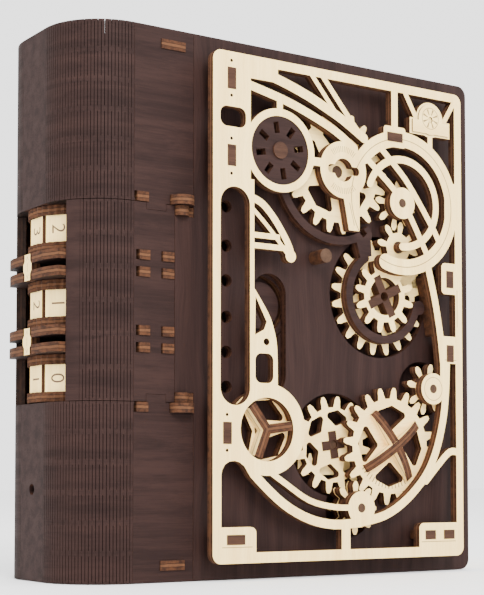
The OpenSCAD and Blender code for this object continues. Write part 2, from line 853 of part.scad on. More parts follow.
back_cover();
spine_wrap_top();
spine_wrap_bottom();
spine_panel_front();
spine_panel_back();
spine_cap_top();
spine_cap_bottom();
hinge_plate_top();
hinge_plate_bottom();
ring_supports();
code_pointers();
ring_spindle();
code_comb();
inner_wall();
page_wall_top();
page_wall_bottom();
page_wall_fore_edge();
hinge_pins();
ring_drum_1();
ring_flanges_1();
ring_tiles_1();
ring_drum_2();
ring_flanges_2();
ring_tiles_2();
ring_drum_3();
ring_flanges_3();
ring_tiles_3();
cover_plate();
bay_frame();
cover_back_plate();
hinge_knuckles();
overlay_frame();
standoffs();
gear_bracket();
gear_pins();
window_ring();
title_plate();
key_gear();
upper_idler();
lower_idler();
compound_small_gear();
compound_large_gear();
compound_cross_axle();
upper_bolt_pinion();
upper_bolt();
drive_gear();
knob_blade_long();
knob_blade_short();
right_pinion();
twin_pinion();
window_gear();
window_gear_cross();
lower_bolt_pinion();
lower_bolt();
hand_wheel();
hand_wheel_grips();
dial_disc();
dial_axle();
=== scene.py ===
"""Looks for the book-shaped puzzle safe: stained and plain birch plywood, laser-burnt edges, kerf-bent spine."""

import bpy
import math
from mathutils import Matrix, Vector


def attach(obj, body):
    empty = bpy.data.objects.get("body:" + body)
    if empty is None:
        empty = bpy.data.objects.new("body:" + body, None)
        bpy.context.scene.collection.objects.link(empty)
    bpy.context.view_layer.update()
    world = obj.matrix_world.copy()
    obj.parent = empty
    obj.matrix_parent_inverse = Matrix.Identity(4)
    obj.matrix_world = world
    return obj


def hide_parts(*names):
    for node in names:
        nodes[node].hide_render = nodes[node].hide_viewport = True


X, Y, Z = 0, 1, 2
MM = 0.001
PLY = 3.0                     # plate thickness, mm
SEAM_X = -35.0                # hinge seam
FACE_Y = -24.2                # front face of the cover
SPINE_R = 20.0                # outside radius of the spine corners
SPINE_W = 41.0                # seam to the flat of the spine
BOOK_T = 56.0                 # cover face to back face
BOOK_H = 170.0                # floor to the top of the covers
PLATE_TOP = (115.4, 54.4)     # heights where the two spine wraps meet the hinge plates
PANEL_Z = (54.6, 115.2)       # foot and head of the spine panels beside the code rings
RING_AXIS = (-59.8, 3.8)      # code ring axis, x and y
RING_MID = (108.0, 85.0, 62.0)
RING_STEP = 14.4              # height of one code ring
POINTER_Z = (96.5, 73.5)      # middles of the pointers between the rings
CORNER_X = -56.0              # axes of the two spine corners
CORNER_Y = (-4.2, 11.8)
TILE_A = 15.1                 # ring axis to a tile's face
TILE_COUNT = 10
SLOT_TURN = 6                 # degrees from one slotted cell of a spine corner to the next
KEY_C = (18.4, 132.2)         # gear centres, x and z
UPPER_C = (43.3, 123.9)
RIGHT_C = (56.45, 61.8)
DRIVE_C = (40.3, 42.2)
WHEEL_C = (-11.9, 46.7)
TITLE_C = (55.4, 154.2)
BLADE_LINE = 5.2              # engraved line along the blades, in front of the cover face

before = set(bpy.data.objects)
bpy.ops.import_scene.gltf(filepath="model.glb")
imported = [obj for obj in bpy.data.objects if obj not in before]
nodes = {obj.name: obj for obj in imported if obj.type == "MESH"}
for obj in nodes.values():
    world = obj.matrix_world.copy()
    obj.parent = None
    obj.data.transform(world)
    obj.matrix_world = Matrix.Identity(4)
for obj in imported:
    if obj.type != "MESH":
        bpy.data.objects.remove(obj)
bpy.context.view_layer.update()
bpy.ops.object.select_all(action="DESELECT")


# ---------------------------------------------------------------- node helpers

def add(tree, kind, **values):
    """Adds a shader node; keyword values set its properties."""
    made = tree.nodes.new("ShaderNode" + kind)
    for name, value in values.items():
        setattr(made, name, value)
    return made


def feed(tree, socket, value):
    """Joins an output to a socket, or writes a plain number or colour into it."""
    if isinstance(value, bpy.types.NodeSocket):
        tree.links.new(value, socket)
    else:
        socket.default_value = value


def calc(tree, operation, a, b=0.0, c=0.0):
    n = add(tree, "Math", operation=operation)
    for socket, value in zip(n.inputs, (a, b, c)):
        feed(tree, socket, value)
    return n.outputs[0]


def vector_calc(tree, operation, a, b):
    n = add(tree, "VectorMath", operation=operation)
    feed(tree, n.inputs[0], a)
    feed(tree, n.inputs[1], b)
    return n.outputs[0]


def dot(tree, a, b):
    n = add(tree, "VectorMath", operation="DOT_PRODUCT")
    feed(tree, n.inputs[0], a)
    feed(tree, n.inputs[1], b)
    return n.outputs["Value"]


def length(tree, a, b):
    """Length of the side opposite the right angle between a and b."""
    return calc(tree, "SQRT", calc(tree, "ADD", calc(tree, "MULTIPLY", a, a), calc(tree, "MULTIPLY", b, b)))


def split(tree, vector):
    """The three parts of a vector."""
    parts = add(tree, "SeparateXYZ")
    tree.links.new(vector, parts.inputs[0])
    return parts.outputs


def blend_colour(tree, fac, a, b):
    n = add(tree, "Mix", data_type="RGBA", blend_type="MIX")
    for index, value in ((0, fac), (6, a), (7, b)):
        feed(tree, n.inputs[index], value)
    return n.outputs[2]


def remap(tree, value, low, high, to_low=0.0, to_high=1.0):
    n = add(tree, "MapRange", interpolation_type="SMOOTHSTEP")
    for index, v in enumerate((value, low, high, to_low, to_high)):
        feed(tree, n.inputs[index], v)
    return n.outputs[0]


def noise(tree, vector, scale, detail=4.0, roughness=0.55):
    n = add(tree, "TexNoise")
    feed(tree, n.inputs["Vector"], vector)
    n.inputs["Scale"].default_value = scale
    n.inputs["Detail"].default_value = detail
    n.inputs["Roughness"].default_value = roughness
    return n.outputs["Fac"]


def stretched(tree, vector, scale):
    n = add(tree, "Mapping")
    feed(tree, n.inputs["Vector"], vector)
    n.inputs["Scale"].default_value = scale
    return n.outputs["Vector"]


def new_group(name, inputs, outputs):
    g = bpy.data.node_groups.new(name, "ShaderNodeTree")
    for label, kind in inputs:
        g.interface.new_socket(label, in_out="INPUT", socket_type="NodeSocket" + kind)
    for label, kind in outputs:
        g.interface.new_socket(label, in_out="OUTPUT", socket_type="NodeSocket" + kind)
    return g, g.nodes.new("NodeGroupInput").outputs, g.nodes.new("NodeGroupOutput").inputs


def use_group(tree, group, **values):
    n = add(tree, "Group", node_tree=group)
    for name, value in values.items():
        feed(tree, n.inputs[name], value)
    return n.outputs


# ---------------------------------------------------------------- shared effects

def make_grain_group():
    """Birch grain along X of the vector (mm): broad tone, fine streaks and short dark pores."""
    g, into, out = new_group("birch_grain", [("Vector", "Vector")],
                             [("Tone", "Float"), ("Pores", "Float"), ("Height", "Float")])
    drift = noise(g, stretched(g, into["Vector"], (0.02, 0.05, 0.05)), 1.0, 2.0)
    bent = add(g, "CombineXYZ")
    g.links.new(calc(g, "MULTIPLY", drift, 9.0), bent.inputs[1])
    line = vector_calc(g, "ADD", into["Vector"], bent.outputs[0])
    broad = noise(g, stretched(g, line, (0.012, 0.28, 0.28)), 1.0, 3.0)
    fine = noise(g, stretched(g, line, (0.05, 2.4, 2.4)), 1.0, 5.0, 0.65)
    pore = noise(g, stretched(g, line, (0.35, 7.0, 7.0)), 1.0, 2.0)
    tone = calc(g, "MULTIPLY_ADD", broad, 0.55, calc(g, "MULTIPLY", fine, 0.45))
    feed(g, out["Tone"], remap(g, tone, 0.34, 0.66))
    feed(g, out["Pores"], remap(g, pore, 0.60, 0.72))
    feed(g, out["Height"], calc(g, "SUBTRACT", fine, calc(g, "MULTIPLY", remap(g, pore, 0.58, 0.7), 0.5)))
    return g


def make_edge_group():
    """Laser-cut edge of three-layer ply: Depth is mm from one face of the plate."""
    g, into, out = new_group("burnt_ply_edge", [("Vector", "Vector"), ("Depth", "Float")],
                             [("Layer", "Float"), ("Glue", "Float"), ("Char", "Float"), ("Height", "Float")])
    wander = calc(g, "MULTIPLY_ADD", noise(g, into["Vector"], 0.35, 3.0), 0.5, -0.25)
    depth = calc(g, "ADD", into["Depth"], wander)
    middle = calc(g, "ABSOLUTE", calc(g, "SUBTRACT", depth, PLY / 2))
    feed(g, out["Layer"], remap(g, middle, 0.42, 0.58, 1.0, 0.0))
    gap = calc(g, "ABSOLUTE", calc(g, "SUBTRACT", middle, PLY / 6))
    feed(g, out["Glue"], remap(g, gap, 0.04, 0.16, 1.0, 0.0))
    char = noise(g, stretched(g, into["Vector"], (1.0, 0.55, 1.0)), 0.55, 5.0, 0.7)
    feed(g, out["Char"], remap(g, char, 0.36, 0.68))
    feed(g, out["Height"], calc(g, "ADD", char, calc(g, "MULTIPLY", gap, 0.6)))
    return g


def make_ring_line_group():
    """A thin engraved circle: Across and Up place the point, in mm."""
    g, into, out = new_group("engraved_circle",
                             [("Across", "Float"), ("Up", "Float"), ("Centre across", "Float"),
                              ("Centre up", "Float"), ("Radius", "Float"), ("Width", "Float")],
                             [("Mask", "Float")])
    dx = calc(g, "SUBTRACT", into["Across"], into["Centre across"])
    dz = calc(g, "SUBTRACT", into["Up"], into["Centre up"])
    off = calc(g, "ABSOLUTE", calc(g, "SUBTRACT", length(g, dx, dz), into["Radius"]))
    feed(g, out["Mask"], remap(g, calc(g, "DIVIDE", off, into["Width"]), 0.35, 0.7, 1.0, 0.0))
    return g


def make_stroke_group():
    """A thin engraved straight line from A to B; Point, A and B lie in the x, z plane, in mm."""
    g, into, out = new_group("engraved_stroke", [("Point", "Vector"), ("A", "Vector"), ("B", "Vector"),
                                                 ("Width", "Float")], [("Mask", "Float")])
    along = vector_calc(g, "SUBTRACT", into["B"], into["A"])
    reach = vector_calc(g, "SUBTRACT", into["Point"], into["A"])
    share = calc(g, "DIVIDE", dot(g, reach, along), dot(g, along, along))
    clamp = add(g, "Clamp")
    feed(g, clamp.inputs[0], share)
    scaled = add(g, "VectorMath", operation="SCALE")
    feed(g, scaled.inputs[0], along)
    feed(g, scaled.inputs["Scale"], clamp.outputs[0])
    off = vector_calc(g, "SUBTRACT", reach, scaled.outputs[0])
    far = calc(g, "SQRT", dot(g, off, off))
    feed(g, out["Mask"], remap(g, calc(g, "DIVIDE", far, into["Width"]), 0.35, 0.7, 1.0, 0.0))
    return g


def make_tick_group():
    """Short radial ticks round a centre, kept to one span of angles."""
    g, into, out = new_group("engraved_ticks", [("Across", "Float"), ("Up", "Float"), ("Inner", "Float"),
                                                ("Outer", "Float"), ("Count", "Float"), ("From", "Float"),
                                                ("To", "Float")], [("Mask", "Float")])
    far = length(g, into["Across"], into["Up"])
    angle = calc(g, "DEGREES", calc(g, "ARCTAN2", into["Up"], into["Across"]))
    step = calc(g, "DIVIDE", 360.0, into["Count"])
    turn = calc(g, "SUBTRACT", calc(g, "FRACT", calc(g, "DIVIDE", angle, step)), 0.5)
    thin = remap(g, calc(g, "ABSOLUTE", turn), 0.10, 0.16, 1.0, 0.0)
    inside = calc(g, "MULTIPLY", calc(g, "GREATER_THAN", far, into["Inner"]),
                  calc(g, "LESS_THAN", far, into["Outer"]))
    span = calc(g, "MULTIPLY", calc(g, "GREATER_THAN", angle, into["From"]),
                calc(g, "LESS_THAN", angle, into["To"]))
    feed(g, out["Mask"], calc(g, "MULTIPLY", thin, calc(g, "MULTIPLY", inside, span)))
    return g


GRAIN = make_grain_group()
EDGE = make_edge_group()
CIRCLE = make_ring_line_group()
STROKE = make_stroke_group()
TICKS = make_tick_group()


# ---------------------------------------------------------------- finishes

def palette(**tones):
    """Named colours of one surface, each with full alpha."""
    return {name: (*colour, 1) for name, colour in tones.items()}


STAIN = palette(light=(0.0215, 0.0088, 0.0068), dark=(0.0110, 0.0043, 0.0034), pore=(0.0045, 0.0018, 0.0014))
BIRCH = palette(light=(0.94, 0.69, 0.28), dark=(0.83, 0.57, 0.21), pore=(0.48, 0.28, 0.12))
DOWEL = palette(light=(0.060, 0.031, 0.017), dark=(0.032, 0.016, 0.009), pore=(0.012, 0.006, 0.004))
BURNT_FACE = palette(light=(0.050, 0.022, 0.012), dark=(0.024, 0.010, 0.006), pore=(0.01, 0.004, 0.003))
BURNT = palette(light=(0.064, 0.025, 0.011), dark=(0.022, 0.009, 0.005),
                glue=(0.007, 0.003, 0.002), core=(0.125, 0.055, 0.025))
STAIN_EDGE = palette(light=(0.050, 0.019, 0.010), dark=(0.016, 0.006, 0.004),
                     glue=(0.005, 0.002, 0.002), core=(0.085, 0.035, 0.018))
# Slot walls: burnt edge colours darkened almost to the stained face's tone, as painted shade inside the narrow
# slots.
SLOT_SCORCH_AND_SHADE = palette(light=(0.020, 0.010, 0.007), dark=(0.007, 0.004, 0.003),
                    glue=(0.004, 0.002, 0.002), core=(0.028, 0.014, 0.010))
FACE_LIMIT = 0.8              # a surface turned less than this towards its plate's face is an edge


def new_finish(name):
    """A new material with its shader, the point in mm and the three parts of the surface's normal."""
    mat = bpy.data.materials.new(name)
    mat.use_nodes = True
    tree = mat.node_tree
    coords = add(tree, "TexCoord")
    mm = vector_calc(tree, "MULTIPLY", coords.outputs["Object"], (1000, 1000, 1000))
    return mat, tree, tree.nodes["Principled BSDF"], mm, split(tree, coords.outputs["Normal"])


def order_axes(tree, vector, first):
    """Turns the vector so that the axis named first comes first, for grain that runs along it."""
    parts = split(tree, vector)
    rest = [i for i in range(3) if i != first]
    joined = add(tree, "CombineXYZ")
    for slot, source in enumerate([first] + rest):
        tree.links.new(parts[source], joined.inputs[slot])
    return parts, joined.outputs[0]


def plate_depth(tree, coordinate, offsets):
    """Distance in mm from the low face of whichever plate the point is in."""
    depth = calc(tree, "SUBTRACT", coordinate, offsets[0])
    for low, high in zip(offsets, offsets[1:]):
        step = calc(tree, "GREATER_THAN", coordinate, high - 0.05)
        depth = calc(tree, "SUBTRACT", depth, calc(tree, "MULTIPLY", step, high - low))
    return depth


def finish_wood(tree, shader, grain, edge, edge_mask, face, burnt, marks=None):
    """Joins face grain and burnt edge into the shader: colour, roughness and bump."""
    skin = blend_colour(tree, grain["Tone"], face["dark"], face["light"])
    skin = blend_colour(tree, calc(tree, "MULTIPLY", grain["Pores"], 0.35), skin, face["pore"])
    if marks is not None:
        skin = blend_colour(tree, calc(tree, "MULTIPLY", marks, 0.8), skin, BURNT["dark"])
    scorched = blend_colour(tree, edge["Char"], burnt["light"], burnt["dark"])
    scorched = blend_colour(tree, calc(tree, "MULTIPLY", edge["Layer"], 0.45), scorched, burnt["core"])
    scorched = blend_colour(tree, calc(tree, "MULTIPLY", edge["Glue"], 0.75), scorched, burnt["glue"])
    feed(tree, shader.inputs["Base Color"], blend_colour(tree, edge_mask, skin, scorched))
    rough = calc(tree, "MULTIPLY_ADD", grain["Tone"], -0.10, 0.72)
    feed(tree, shader.inputs["Roughness"], calc(tree, "MULTIPLY_ADD", edge_mask, 0.16, rough))
    shader.inputs["Specular IOR Level"].default_value = 0.12
    relief = calc(tree, "ADD", calc(tree, "MULTIPLY", grain["Height"], 0.35),
                  calc(tree, "MULTIPLY", calc(tree, "MULTIPLY", edge["Height"], edge_mask), 0.6))
    if marks is not None:
        relief = calc(tree, "SUBTRACT", relief, calc(tree, "MULTIPLY", marks, 1.5))
    bump = add(tree, "Bump")
    bump.inputs["Strength"].default_value = 0.22
    bump.inputs["Distance"].default_value = 0.12 * MM
    feed(tree, bump.inputs["Height"], relief)
    feed(tree, shader.inputs["Normal"], bump.outputs[0])


def plate_finish(name, face, burnt, normal_axis, offsets, grain_axis, marks=None, side_face=None):
    """Plywood plate: grain on the two faces across normal_axis, layered burnt wood everywhere else.
    A plate bent round to face -X also has its faces left of x = side_face."""
    mat, tree, shader, mm, normal = new_finish(name)
    parts, along = order_axes(tree, mm, grain_axis)
    grain = use_group(tree, GRAIN, Vector=along)
    edge = use_group(tree, EDGE, Vector=mm, Depth=plate_depth(tree, parts[normal_axis], offsets))
    straight = calc(tree, "ABSOLUTE", normal[normal_axis])
    if side_face is not None:
        beside = calc(tree, "MULTIPLY", calc(tree, "ABSOLUTE", normal[X]),
                      calc(tree, "LESS_THAN", parts[X], side_face))
        straight = calc(tree, "MAXIMUM", straight, beside)
    edge_mask = calc(tree, "LESS_THAN", straight, FACE_LIMIT)
    drawn = marks(tree, parts) if marks else None
    finish_wood(tree, shader, grain, edge, edge_mask, face, burnt, drawn)
    return mat


def engraved(circles=(), strokes=(), ticks=()):
    """Marks function for a plate seen from the front: circles (x, z, radius, width), strokes (x0, z0, x1, z1,
    width) and rows of ticks (x, z, inner, outer, count, from, to), all in mm and degrees."""
    def draw(tree, parts):
        masks = []
        for cx, cz, radius, width in circles:
            masks.append(use_group(tree, CIRCLE, **{
                "Across": parts[X], "Up": parts[Z], "Centre across": cx, "Centre up": cz,
                "Radius": radius, "Width": width})["Mask"])
        if strokes:
            point = add(tree, "CombineXYZ")
            tree.links.new(parts[X], point.inputs[X])
            tree.links.new(parts[Z], point.inputs[Z])
        for x0, z0, x1, z1, width in strokes:
            masks.append(use_group(tree, STROKE, Point=point.outputs[0], A=(x0, 0, z0), B=(x1, 0, z1),
                                   Width=width)["Mask"])
        for cx, cz, inner, outer, count, start, end in ticks:
            masks.append(use_group(tree, TICKS, Across=calc(tree, "SUBTRACT", parts[X], cx),
                                   Up=calc(tree, "SUBTRACT", parts[Z], cz), Inner=inner, Outer=outer,
                                   Count=count, From=start, To=end)["Mask"])
        total = masks[0]
        for mask in masks[1:]:
            total = calc(tree, "MAXIMUM", total, mask)
        return total
    return draw


def front(s):
    """Low y of a plate whose back face stands s mm in front of the cover face."""
    return FACE_Y - s - PLY


def paint(names, material):
    for name in names:
        obj = nodes[name]
        for slot in obj.material_slots:
            slot.link = "DATA"
            slot.material = material


def arrow_marks(tree, parts):
    """Up and down arrows with a line between them on each pointer between the code rings."""
    aside = calc(tree, "ABSOLUTE", calc(tree, "SUBTRACT", parts[Y], RING_AXIS[1]))
    total = None
    for mid in POINTER_Z:
        up = calc(tree, "ABSOLUTE", calc(tree, "SUBTRACT", parts[Z], mid))
        slope = calc(tree, "ADD", calc(tree, "MULTIPLY", aside, 1.6), calc(tree, "SUBTRACT", up, 3.4))
        head = remap(tree, calc(tree, "ABSOLUTE", slope), 0.10, 0.25, 1.0, 0.0)
        head = calc(tree, "MULTIPLY", head, calc(tree, "LESS_THAN", aside, 0.7))
        line = calc(tree, "MULTIPLY", calc(tree, "LESS_THAN", aside, 0.1), calc(tree, "LESS_THAN", up, 1.3))
        mark = calc(tree, "MAXIMUM", head, line)
        total = mark if total is None else calc(tree, "MAXIMUM", total, mark)
    return total


def paint_case():
    paint(["back_cover"], plate_finish("stained_back", STAIN, STAIN_EDGE, Y, [front(-BOOK_T)], Z))
    paint(["spine_cap_top", "spine_cap_bottom"], plate_finish("stained_caps", STAIN, BURNT, Z, [3.5, 163.5], X))
    paint(["hinge_plate_top", "hinge_plate_bottom"],
          plate_finish("stained_hinge_plates", STAIN, BURNT, Z, [PLATE_TOP[1] - PLY, PLATE_TOP[0]], X))
    paint(["ring_supports"],
          plate_finish("stained_ring_supports", STAIN, BURNT, Z, [69.4, 74.6, 92.4, 97.6], X))
    paint(["code_pointers"], plate_finish("birch_pointers", BIRCH, BURNT, X, [-78], Z, arrow_marks))
    paint(["ring_spindle", "hinge_pins", "gear_pins"],
          plate_finish("dowel_birch", DOWEL, BURNT, Y, [-40], Y))
    paint(["code_comb"], plate_finish("comb_ply", BIRCH, BURNT, Y, [-1], Z))
    paint(["inner_wall"], plate_finish("stained_inner_wall", STAIN, STAIN_EDGE, X, [SEAM_X], Z))
    paint(["page_wall_top", "page_wall_bottom"], plate_finish("birch_pages", BIRCH, BURNT, Z, [5, 162], X))
    paint(["page_wall_fore_edge"], plate_finish("birch_fore_edge", BIRCH, BURNT, X, [72.6], Z))


def paint_rings():
    tiles = tile_finish()
    for n, mid in zip("123", RING_MID):
        low = mid - RING_STEP / 2
        paint([f"ring_flanges_{n}"],
              plate_finish(f"stained_flanges_{n}", STAIN, BURNT, Z, [low, low + RING_STEP - PLY], X))
        paint([f"ring_drum_{n}"], plate_finish(f"burnt_drum_{n}", STAIN, BURNT, Z, [low + PLY], X))
        paint([f"ring_tiles_{n}"], tiles)


def outward_share(tree, dx, dy, far, normal):
    """How far the surface faces straight away from an upright axis that lies dx, dy and far behind it."""
    along = calc(tree, "ADD", calc(tree, "MULTIPLY", dx, normal[X]), calc(tree, "MULTIPLY", dy, normal[Y]))
    return calc(tree, "DIVIDE", along, far)


def tile_finish():
    """Pale tiles: outward faces stay plain birch, every other side is burnt."""
    mat, tree, shader, mm, normal = new_finish("birch_tile_faces")
    parts, along = order_axes(tree, mm, Z)
    grain = use_group(tree, GRAIN, Vector=along)
    edge = use_group(tree, EDGE, Vector=mm, Depth=PLY / 2)
    dx = calc(tree, "SUBTRACT", parts[X], RING_AXIS[0])
    dy = calc(tree, "SUBTRACT", parts[Y], RING_AXIS[1])
    outward = outward_share(tree, dx, dy, length(tree, dx, dy), normal)
    finish_wood(tree, shader, grain, edge, calc(tree, "LESS_THAN", outward, 0.85), BIRCH, BURNT)
    return mat


def paint_cover():
    paint(["cover_plate"], plate_finish("stained_cover", STAIN, STAIN_EDGE, Y, [front(-3)], Z))
    paint(["bay_frame"], plate_finish("bay_ply", STAIN, STAIN_EDGE, Y, [front(-6)], Z))
    paint(["cover_back_plate"], plate_finish("stained_liner", STAIN, STAIN_EDGE, Y, [front(-9)], Z))
    paint(["hinge_knuckles"], plate_finish("stained_knuckles", STAIN, BURNT, Z, [54.6, 112.2], X))
    marks = engraved(
        circles=[(UPPER_C[0], UPPER_C[1], 21.6, 0.26), (RIGHT_C[0], RIGHT_C[1], 3.9, 0.2)],
        strokes=[(20.9, 121.6, 22.8, 114.4, 0.22), (67.4, 83.5, 67.4, 96.0, 0.22),
                 (61.8, 71.9, 66.8, 71.9, 0.22), (51.0, 10.2, 66.0, 10.2, 0.22),
                 (-28.6, 10.2, -17.6, 10.2, 0.22)],
        ticks=[(KEY_C[0], KEY_C[1], 5.9, 7.9, 60, 48, 132), (KEY_C[0], KEY_C[1], 5.9, 7.9, 60, -132, -48)])
    paint(["overlay_frame"], plate_finish("birch_overlay", BIRCH, BURNT, Y, [front(3.8)], Z, marks))
    star = engraved(circles=[(TITLE_C[0], TITLE_C[1], 3.6, 0.2)],
                    ticks=[(TITLE_C[0], TITLE_C[1], 1.2, 3.3, 8, -180, 180)])
    paint(["title_plate"], plate_finish("birch_title", BIRCH, BURNT, Y, [front(6.8)], X, star))
    paint(["standoffs"], plate_finish("burnt_standoffs", BURNT_FACE, BURNT, Y, [front(3.8)], X))
    paint(["gear_bracket"], plate_finish("stained_bracket", STAIN, STAIN_EDGE, Y, [front(0)], X))
    paint(["window_ring"], plate_finish("stained_window_ring", STAIN, BURNT, Y, [front(-6)], X))


def kerf_finish():
    """Slotted spine corners: stained outside; the walls of the slots are scorched and darkened towards black as
    painted shade.
    """
    mat, tree, shader, mm, normal = new_finish("stained_kerfs")
    parts = split(tree, mm)
    round_x = calc(tree, "SUBTRACT", parts[X], CORNER_X)
    clamped = calc(tree, "MINIMUM", calc(tree, "MAXIMUM", parts[Y], CORNER_Y[0]), CORNER_Y[1])
    round_y = calc(tree, "SUBTRACT", parts[Y], clamped)
    far = length(tree, round_x, round_y)
    outward = calc(tree, "ABSOLUTE", outward_share(tree, round_x, round_y, far, normal))
    wrapped = add(tree, "CombineXYZ")
    tree.links.new(calc(tree, "SUBTRACT", parts[Y], parts[X]), wrapped.inputs[0])
    tree.links.new(parts[Z], wrapped.inputs[2])
    grain = use_group(tree, GRAIN, Vector=wrapped.outputs[0])
    edge = use_group(tree, EDGE, Vector=mm, Depth=calc(tree, "SUBTRACT", far, SPINE_R - PLY))
    finish_wood(tree, shader, grain, edge, calc(tree, "LESS_THAN", outward, FACE_LIMIT), STAIN, SLOT_SCORCH_AND_SHADE)
    return mat


def paint_gears():
    upper = plate_finish("birch_gears_upper", BIRCH, BURNT, Y, [front(0.4)], X)
    paint(["key_gear", "upper_idler", "lower_idler", "compound_small_gear", "right_pinion"], upper)
    maker = engraved(ticks=[(DRIVE_C[0], DRIVE_C[1], 12.2, 14.2, 60, -150, -60)])
    paint(["drive_gear"], plate_finish("birch_drive_gear", BIRCH, BURNT, Y, [front(0.4)], X, maker))
    paint(["twin_pinion"], plate_finish("birch_twin_pinion", BIRCH, BURNT, Y, [front(0.4), front(-2.9)], X))
    paint(["window_gear", "compound_large_gear"],
          plate_finish("birch_gears_lower", BIRCH, BURNT, Y, [front(-2.9)], X))
    paint(["compound_cross_axle", "window_gear_cross"],
          plate_finish("burnt_cross_axles", BURNT_FACE, BURNT, Y, [front(-1)], X))
    paint(["upper_bolt_pinion", "lower_bolt_pinion", "upper_bolt", "lower_bolt"],
          plate_finish("bolt_ply", BIRCH, BURNT, Y, [front(-5.9)], X))
    paint(["knob_blade_long"], blade_finish("birch_knob_long", DRIVE_C, 124.5, 180))
    paint(["knob_blade_short"], blade_finish("birch_knob_short", DRIVE_C, 34.5, 180))
    paint(["hand_wheel_grips"], blade_finish("birch_grips", WHEEL_C, 8, 120))
    paint(["hand_wheel"], plate_finish("birch_wheel", BIRCH, BURNT, Y, [front(0.3)], X))
    paint(["dial_disc"], plate_finish("stained_dial", STAIN, STAIN_EDGE, Y, [front(3.7)], X))
    paint(["dial_axle"], plate_finish("burnt_axle", BURNT_FACE, BURNT, Y, [front(3)], X))


def blade_finish(name, centre, first, step):
    """Blades standing on edge and pointing out from a centre every step degrees: pale sides, and front edges
    that show the burnt layers of the ply across their 3 mm."""
    mat, tree, shader, mm, normal = new_finish(name)
    parts, along = order_axes(tree, mm, X)
    grain = use_group(tree, GRAIN, Vector=along)
    across = calc(tree, "SUBTRACT", parts[X], centre[0])
    up = calc(tree, "SUBTRACT", parts[Z], centre[1])
    angle = calc(tree, "ARCTAN2", up, across)
    half = math.radians(step / 2)
    turned = calc(tree, "ADD", angle, half - math.radians(first))
    off = calc(tree, "SUBTRACT", calc(tree, "FLOORED_MODULO", turned, 2 * half), half)
    blade = calc(tree, "SUBTRACT", angle, off)
    side_x = calc(tree, "MULTIPLY", calc(tree, "SINE", blade), -1.0)
    side_z = calc(tree, "COSINE", blade)
    depth = calc(tree, "MULTIPLY_ADD", across, side_x, PLY / 2)
    depth = calc(tree, "MULTIPLY_ADD", up, side_z, depth)
    edge = use_group(tree, EDGE, Vector=mm, Depth=depth)
    beside = calc(tree, "MULTIPLY", normal[X], side_x)
    beside = calc(tree, "ABSOLUTE", calc(tree, "MULTIPLY_ADD", normal[Z], side_z, beside))
    mask = calc(tree, "LESS_THAN", beside, FACE_LIMIT)
    from_line = calc(tree, "ABSOLUTE", calc(tree, "ADD", parts[Y], BLADE_LINE - FACE_Y))
    line = remap(tree, from_line, 0.08, 0.2, 1.0, 0.0)
    finish_wood(tree, shader, grain, edge, mask, BIRCH, BURNT, line)
    return mat


# ---------------------------------------------------------------- new pieces

def block(low, high):
    """A plain box between two corners, in mm."""
    middle = [(a + b) / 2 * MM for a, b in zip(low, high)]
    size = [(b - a) * MM for a, b in zip(low, high)]
    bpy.ops.mesh.primitive_cube_add(size=1, location=middle, scale=size)
    return bpy.context.object


def place(obj, matrix):
    """Moves a piece and writes its place into the mesh."""
    obj.matrix_world = matrix @ obj.matrix_world
    only(obj)
    bpy.ops.object.transform_apply(location=True, rotation=True, scale=True)
    return obj


def only(*objs):
    bpy.ops.object.select_all(action="DESELECT")
    for o in objs:
        o.select_set(True)
    bpy.context.view_layer.objects.active = objs[0]


def join(objs):
    only(*objs)
    if len(objs) > 1:
        bpy.ops.object.join()
    return bpy.context.object


def apply_all(obj):
    only(obj)
    for m in list(obj.modifiers):
        bpy.ops.object.modifier_apply(modifier=m.name)


def about(x, y, degrees):
    """Turn about an upright axis at x, y in mm."""
    there = Matrix.Translation((x * MM, y * MM, 0))
    return there @ Matrix.Rotation(math.radians(degrees), 4, "Z") @ there.inverted()


def ring_copies(obj, x, y, step, count):
    """Repeats a piece round the upright axis at x, y."""
    bpy.ops.object.empty_add()
    guide = bpy.context.object
    guide.matrix_world = about(x, y, step)
    array = obj.modifiers.new("round", "ARRAY")
    array.use_relative_offset = False
    array.use_object_offset = True
    array.offset_object = guide
    array.count = count
    bpy.context.view_layer.update()
    apply_all(obj)
    bpy.data.objects.remove(guide)


def slotted_corner(y, first, cells, low, high):
    """Strips with thin slots between them and small bridges across the slots, in turn up the spine."""
    pieces = []
    for angle in (SLOT_TURN / 4, SLOT_TURN * 3 / 4):
        strip = block((SPINE_R - PLY, -0.43, low), (SPINE_R, 0.43, high))
        pieces.append(place(strip, about(0, 0, angle)))
    for angle, shift in ((SLOT_TURN / 2, 0.5), (SLOT_TURN, 0.0)):
        for k in range(4):
            middle = low + (k + shift) * (high - low) / 3
            bottom, top = max(low, middle - 0.8), min(high, middle + 0.8)
            if top - bottom > 0.2:
                bridge = block((SPINE_R - PLY + 0.1, -0.3, bottom), (SPINE_R - 0.03, 0.3, top))
                pieces.append(place(bridge, about(0, 0, angle)))
    cell = place(join(pieces), Matrix.Translation((CORNER_X * MM, y * MM, 0)))
    place(cell, about(CORNER_X, y, first))
    ring_copies(cell, CORNER_X, y, SLOT_TURN, cells)
    return cell


def plain_corner(y, first, last, low, high):
    """The unslotted end of a corner, beside the window for the code rings."""
    strips = 6
    step = (last - first) / strips
    half = math.radians(step / 2) * SPINE_R
    strip = block((SPINE_R - PLY, -half, low), (SPINE_R, half, high))
    place(strip, about(0, 0, first + step / 2))
    place(strip, Matrix.Translation((CORNER_X * MM, y * MM, 0)))
    ring_copies(strip, CORNER_X, y, step, strips)
    return strip


